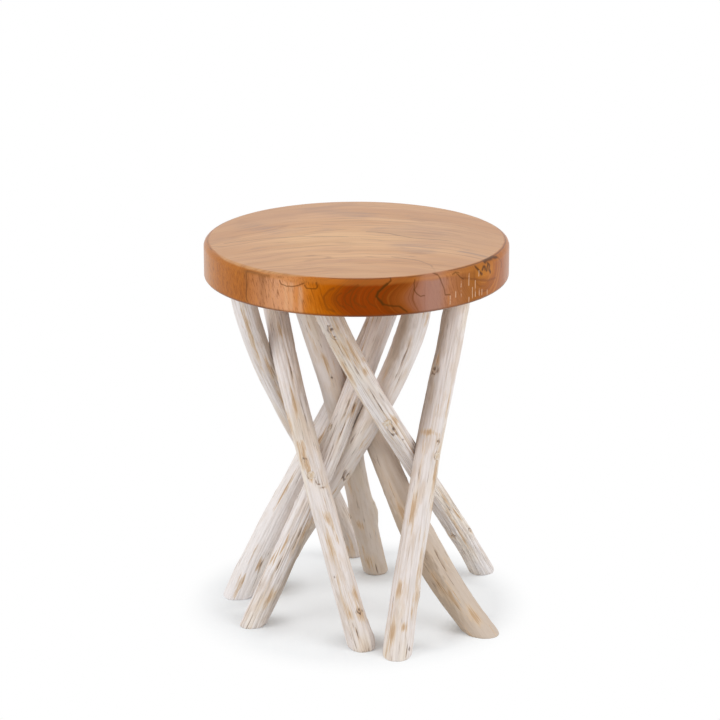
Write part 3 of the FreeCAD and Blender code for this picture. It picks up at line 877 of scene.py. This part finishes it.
for strokes, width, top, stroke_colour in (
    (knot_glow, 12 * mm, 0.55, (0.55, 0.19, 0.01, 1)),
    (painted_reflection_bands, 4 * mm, 0.45, (0.76, 0.43, 0.24, 1)),
    (rim_arcs, 2.2 * mm, 0.5, russet),
    (rim_rings, 1.4 * mm, 0.55, russet),
    (rim_lines, 1.3 * mm, 0.62, dark_line),
    (rim_main_line, 1.5 * mm, 0.75, dark_line),
    (rim_apex, 2.7 * mm, 0.8, dark_line),
    (rim_knot, 2.7 * mm, 0.9, dark_line),
):
    rim_colour = tint(tree, drawn(tree, shaken_rim, strokes, width, top), rim_colour, stroke_colour)
rim_checks = (
    ((110, 15), (110, 6)),
    ((118, 20), (118, 10)),
    ((126, 29), (126, 6)),
    ((138, 38), (138, 22)),
    ((138, 8), (138, 3)),
    ((144, 18), (144, 6)),
    ((149, 25), (149, 7)),
    ((155, 35), (155, 29)),
    ((156, 14), (156, 6)),
    ((161, 12), (161, 6)),
    ((172, 9), (172, 4)),
)
straight_rim = shaken(tree, rim_point, 70.0, 0.0015)
check_break = ease(tree, cloud(tree, rim_point, (60, 160, 1)), 0.36, 0.56)
checks = calc(tree, "MULTIPLY", drawn(tree, straight_rim, rim_checks, 1.1 * mm, 0.7), check_break)
rim_colour = tint(tree, checks, rim_colour, (0.74, 0.48, 0.32, 1))

# The eased edge between the two: the face's colour covers it further at the left. A broken dark line
# follows, and the lower eased edge is darkened with painted shade.
edge_start = slab_radius - slab_top_round
edge_break = cloud(tree, place, (20, 20, 1), detail=2.0)
# Painted shade along the lower eased edge
rim_colour = tint(tree, ease(tree, over, 4.5 * mm, 1.5 * mm, 0.65), rim_colour, sepia)
off_front = calc(tree, "ABSOLUTE", around)
covered = ease(tree, off_front, 35 * mm, 90 * mm)
covered = calc(tree, "MULTIPLY", covered, ease(tree, off_front, 220 * mm, 170 * mm))
covered = calc(tree, "MULTIPLY", covered, ease(tree, around, 90 * mm, 40 * mm))
covered = calc(tree, "MULTIPLY_ADD", calc(tree, "SUBTRACT", wander, 0.5), 0.6, covered)
inset = calc(tree, "MULTIPLY_ADD", covered, -3.6 * mm, reach)
edge_line = calc(tree, "ABSOLUTE", calc(tree, "SUBTRACT", inset, edge_start + 2.2 * mm))
edge_line = ease(tree, edge_line, 1.1 * mm, 0.2 * mm, 0.65)
edge_line = calc(tree, "MULTIPLY", edge_line, ease(tree, edge_break, 0.44, 0.56))
rim_part = ease(tree, inset, edge_start - 0.3 * mm, edge_start + 1.5 * mm)
colour = tint(tree, rim_part, face_colour, rim_colour)
colour = tint(tree, edge_line, colour, sepia)
tree.links.new(colour, shader.inputs["Base Color"])
shader.inputs["IOR"].default_value = 1.38
shader.inputs["Specular Tint"].default_value = (1.0, 0.45, 0.08, 1)
shader.inputs["Roughness"].default_value = 0.28
roughen(tree, shader, calc(tree, "ADD", grain_streak, fine), 0.1 * mm, 0.25)
slab_mesh.materials.append(teak)
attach(slab, "root")
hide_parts("top_slab")

# The studio
# A wide sheet of white paper under a pale sky, with a large soft box on each side, towards the front. To
# the camera the paper glows white, painted light that fades its shadow except close to the feet.
floor_bm = bmesh.new()
bmesh.ops.create_grid(floor_bm, x_segments=1, y_segments=1, size=8)
floor_mesh = bpy.data.meshes.new("floor")
floor_bm.to_mesh(floor_mesh)
floor_bm.free()
floor = bpy.data.objects.new("floor", floor_mesh)
bpy.context.scene.collection.objects.link(floor)


def seen_white(tree):
    """1 for what the camera, a gloss or a clear body shows, 0 for what only gives light."""
    path = add(tree, "ShaderNodeLightPath").outputs
    shown = calc(tree, "MAXIMUM", path["Is Camera Ray"], path["Is Glossy Ray"])
    return calc(tree, "MAXIMUM", shown, path["Is Transmission Ray"])


shadow_veil = 0.4
foot_shadow = (18 * mm, 60 * mm)
shadow_reach = (130 * mm, 215 * mm)
paper, tree, shader = new_finish("white_paper")
shader.inputs["Base Color"].default_value = (0.91, 0.945, 0.97, 1)
shader.inputs["Roughness"].default_value = 1.0
shader.inputs["Specular IOR Level"].default_value = 0.0
place = add(tree, "ShaderNodeTexCoord").outputs["Object"]
away = add(tree, "ShaderNodeVectorMath", {0: place}, operation="LENGTH").outputs["Value"]
nearest = None
for branch in branch_shares:
    foot = branch_middle(branch, 0)
    gap = add(tree, "ShaderNodeVectorMath", {0: place, 1: foot}, operation="DISTANCE").outputs["Value"]
    nearest = gap if nearest is None else calc(tree, "MINIMUM", nearest, gap)
# Painted light: a white glow over the paper's shadow, none next to the feet, part of the way under the
# table and full beyond it
veil = ease(tree, nearest, *foot_shadow, shadow_veil)
painted_glow = calc(tree, "MAXIMUM", veil, ease(tree, away, *shadow_reach))
painted_glow = calc(tree, "MULTIPLY", painted_glow, seen_white(tree))
white = add(tree, "ShaderNodeEmission", {"Color": (1, 1, 1, 1), "Strength": 1.0}).outputs[0]
blend = add(tree, "ShaderNodeMixShader", {0: painted_glow, 1: shader.outputs[0], 2: white})
tree.links.new(blend.outputs[0], tree.nodes["Material Output"].inputs["Surface"])
floor_mesh.materials.append(paper)

sky_light = 0.70
sky = bpy.data.worlds.new("pale_sky")
sky.use_nodes = True
tree = sky.node_tree
backdrop = tree.nodes["Background"]
backdrop.inputs["Color"].default_value = (1, 1, 1, 1)
inputs = {"Value": seen_white(tree), "To Min": sky_light, "To Max": 1.0}
tree.links.new(add(tree, "ShaderNodeMapRange", inputs).outputs[0], backdrop.inputs["Strength"])
bpy.context.scene.world = sky

box_size = 1.6
box_watts = 24.5
for side in (-1, 1):
    box = bpy.data.lights.new(f"soft_box_{side}", "AREA")
    box.shape = "RECTANGLE"
    box.size = box_size
    box.size_y = box_size
    box.energy = box_watts
    lamp = bpy.data.objects.new(box.name, box)
    lamp.location = (side * 2.3, -0.9, 1.7)
    aim = Vector((0, 0, 0.25)) - lamp.location
    lamp.rotation_euler = aim.to_track_quat("-Z", "Y").to_euler()
    lamp.visible_camera = False
    bpy.context.scene.collection.objects.link(lamp)

# The camera
# In front and above the slab, tilted down, with the object a little left of the middle.
camera_tilt = 17.678
camera_data = bpy.data.cameras.new("camera")
camera_data.lens = 129.4
camera_data.sensor_width = 36
camera = bpy.data.objects.new("camera", camera_data)
camera.location = (0.00405, -2.860, 1.215)
camera.rotation_euler = (math.radians(90 - camera_tilt), 0, 0)
bpy.context.scene.collection.objects.link(camera)
bpy.context.scene.camera = camera
bpy.context.scene.view_settings.view_transform = "Standard"
